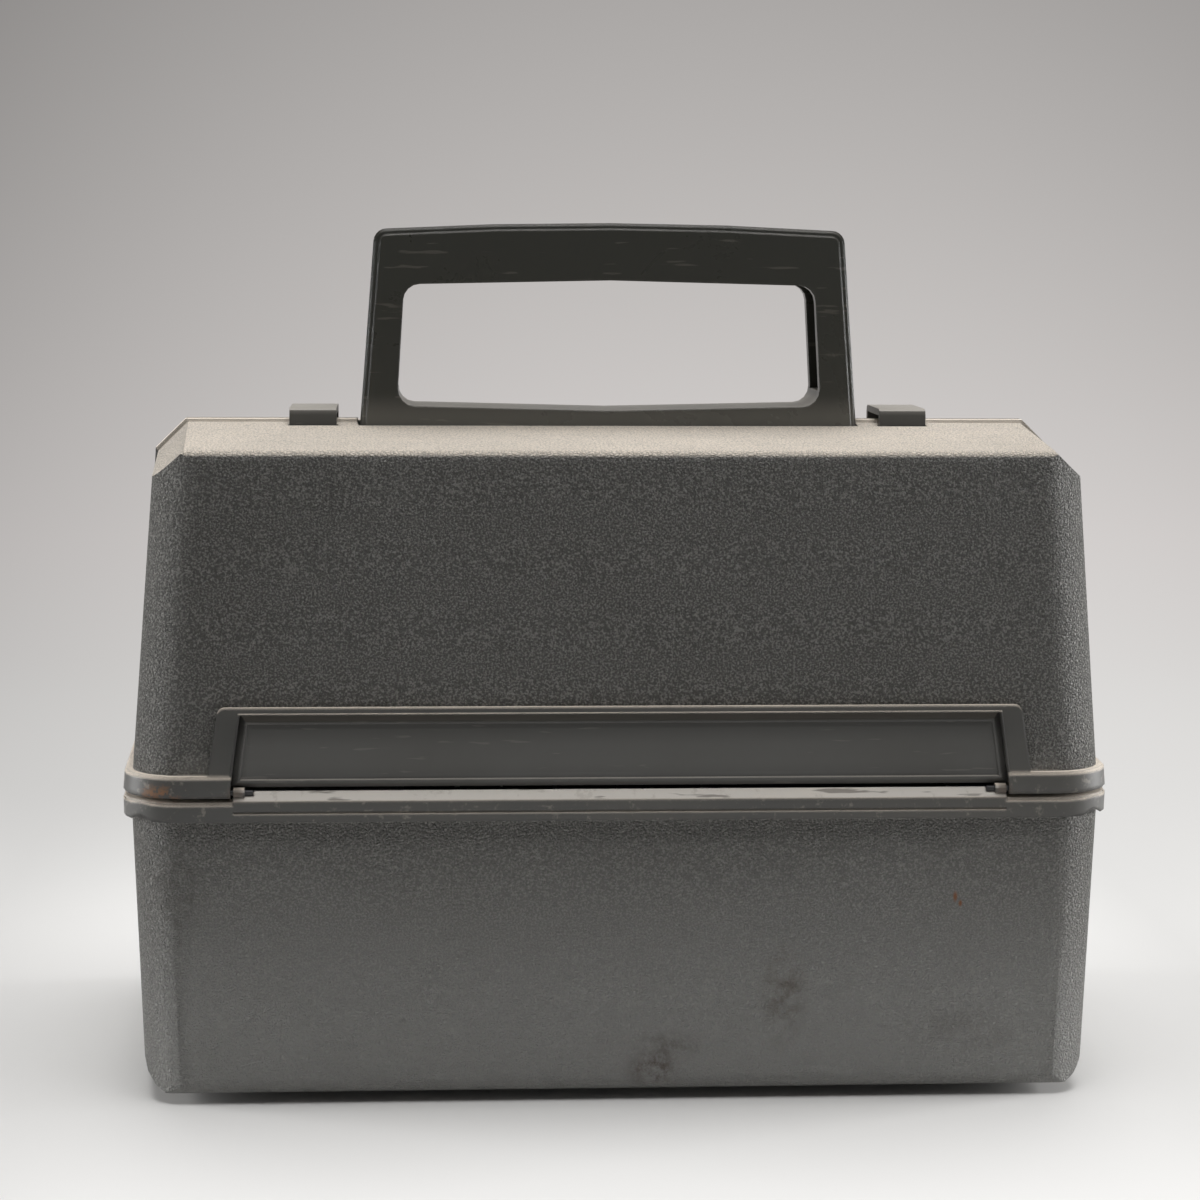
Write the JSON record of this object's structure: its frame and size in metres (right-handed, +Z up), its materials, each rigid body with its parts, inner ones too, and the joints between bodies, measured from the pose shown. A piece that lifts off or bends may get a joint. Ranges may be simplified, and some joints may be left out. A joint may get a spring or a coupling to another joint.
{
  "type": "slide projector",
  "caption": "Portable slide projector in a closed two-shell carrying case with a loop handle, two sliding catches and a front cover that folds down over the optics.",
  "frame": {"origin": "centre of the outline on the ground, under the feet", "axes": "X to the right along the case, -Y the front with the name panel, Z up"},
  "size_m": [0.2956, 0.1586, 0.25],
  "materials": {
    "case_plastic": "leather-grained moulding, matte",
    "panel_plastic": "smooth moulding, bare",
    "handle_plastic": "smooth moulding, semi-gloss",
    "sheet_steel": "zinc-plated sheet",
    "black_metal": "satin black stove enamel",
    "bright_metal": "bright plated",
    "brass_metal": "plain brass",
    "clear_glass": "clear polished glass",
    "knob_plastic": "black moulding",
    "rubber": "black rubber",
    "copper_wire": "enamelled wire winding",
    "card": "pale moulding, matte"
  },
  "bodies": {
    "case": {"rear_cover": "case_plastic", "lower_case": "case_plastic", "hinge_pin_left": "black_metal", "hinge_pin_right": "black_metal", "foot_front_left": "rubber", "foot_front_right": "rubber", "foot_rear_right": "rubber", "foot_rear_left": "rubber", "deck_plate": "sheet_steel", "deck_screw_left": "bright_metal", "deck_screw_right": "bright_metal", "mechanism_plate": "sheet_steel", "handle": "handle_plastic", "handle_screw_left": "bright_metal", "handle_screw_right": "bright_metal", "rear_spacer_left": "sheet_steel", "rear_spacer_right": "sheet_steel", "rear_cover_screw_left": "bright_metal", "rear_cover_screw_right": "bright_metal", "lamp_house": "black_metal", "lamp_house_lid": "black_metal", "lamp_socket": "card", "lamp_base": "brass_metal", "lamp_bulb": "clear_glass", "lamp_filament": "bright_metal", "lamp_mirror": "bright_metal", "heat_glass": "clear_glass", "condenser_holder": "black_metal", "condenser_lens_lamp": "clear_glass", "condenser_lens_gate": "clear_glass", "slide_gate": "black_metal", "lens_sleeve": "black_metal", "focus_bracket": "sheet_steel", "fan_motor": "sheet_steel", "fan_scroll": "black_metal", "transformer_strap": "sheet_steel", "transformer_core": "sheet_steel", "transformer_coil": "copper_wire", "switch_body": "card", "power_inlet": "knob_plastic", "inlet_pin_left": "brass_metal", "inlet_pin_right": "brass_metal", "terminal_block": "card"},
    "front_cover": {"front_cover": "case_plastic", "name_panel": "panel_plastic"},
    "catch_left": {"catch_left": "panel_plastic"},
    "catch_right": {"catch_right": "panel_plastic"},
    "lens_barrel": {"lens_barrel": "bright_metal", "lens_glass_front": "clear_glass", "lens_glass_middle": "clear_glass", "lens_glass_rear": "clear_glass"},
    "focus_knob": {"focus_knob": "knob_plastic", "focus_shaft": "bright_metal", "focus_roller": "rubber"},
    "slide_lifter": {"slide_lifter": "bright_metal", "slide_mount": "card", "slide_film": "knob_plastic"},
    "switch_knob": {"switch_knob": "knob_plastic"},
    "fan_wheel": {"fan_wheel": "sheet_steel"}
  },
  "joints": [
    {"name": "front_cover_hinge", "type": "hinge", "parent": "case", "child": "front_cover", "pos_m": [0, -0.0778, 0.0908], "axis": [1, 0, 0], "range_deg": [0, 95]},
    {"name": "catch_left_lift", "type": "slide", "parent": "front_cover", "child": "catch_left", "axis": [0, 0, 1], "range_m": [0, 0.004]},
    {"name": "catch_right_lift", "type": "slide", "parent": "front_cover", "child": "catch_right", "axis": [0, 0, 1], "range_m": [0, 0.004]},
    {"name": "focus_turn", "type": "hinge", "parent": "case", "child": "focus_knob", "pos_m": [-0.04, -0.038, 0.1015], "axis": [0, -1, 0], "range_deg": [0, 164]},
    {"name": "lens_focus", "type": "slide", "parent": "case", "child": "lens_barrel", "axis": [-1, 0, 0], "range_m": [0, 0.018]},
    {"name": "slide_lift", "type": "slide", "parent": "case", "child": "slide_lifter", "axis": [0, 0, 1], "range_m": [0, 0.02]},
    {"name": "switch_turn", "type": "hinge", "parent": "case", "child": "switch_knob", "pos_m": [0.114, -0.024, 0.09], "axis": [0, 0, 1], "range_deg": [0, 90]},
    {"name": "fan_spin", "type": "hinge", "parent": "case", "child": "fan_wheel", "pos_m": [0.062, 0.026, 0.128], "axis": [0, 1, 0], "continuous": true}
  ],
  "couplings": [
    {"joint": "focus_turn", "follows": "lens_focus", "rad_per_m": 158.73}
  ]
}
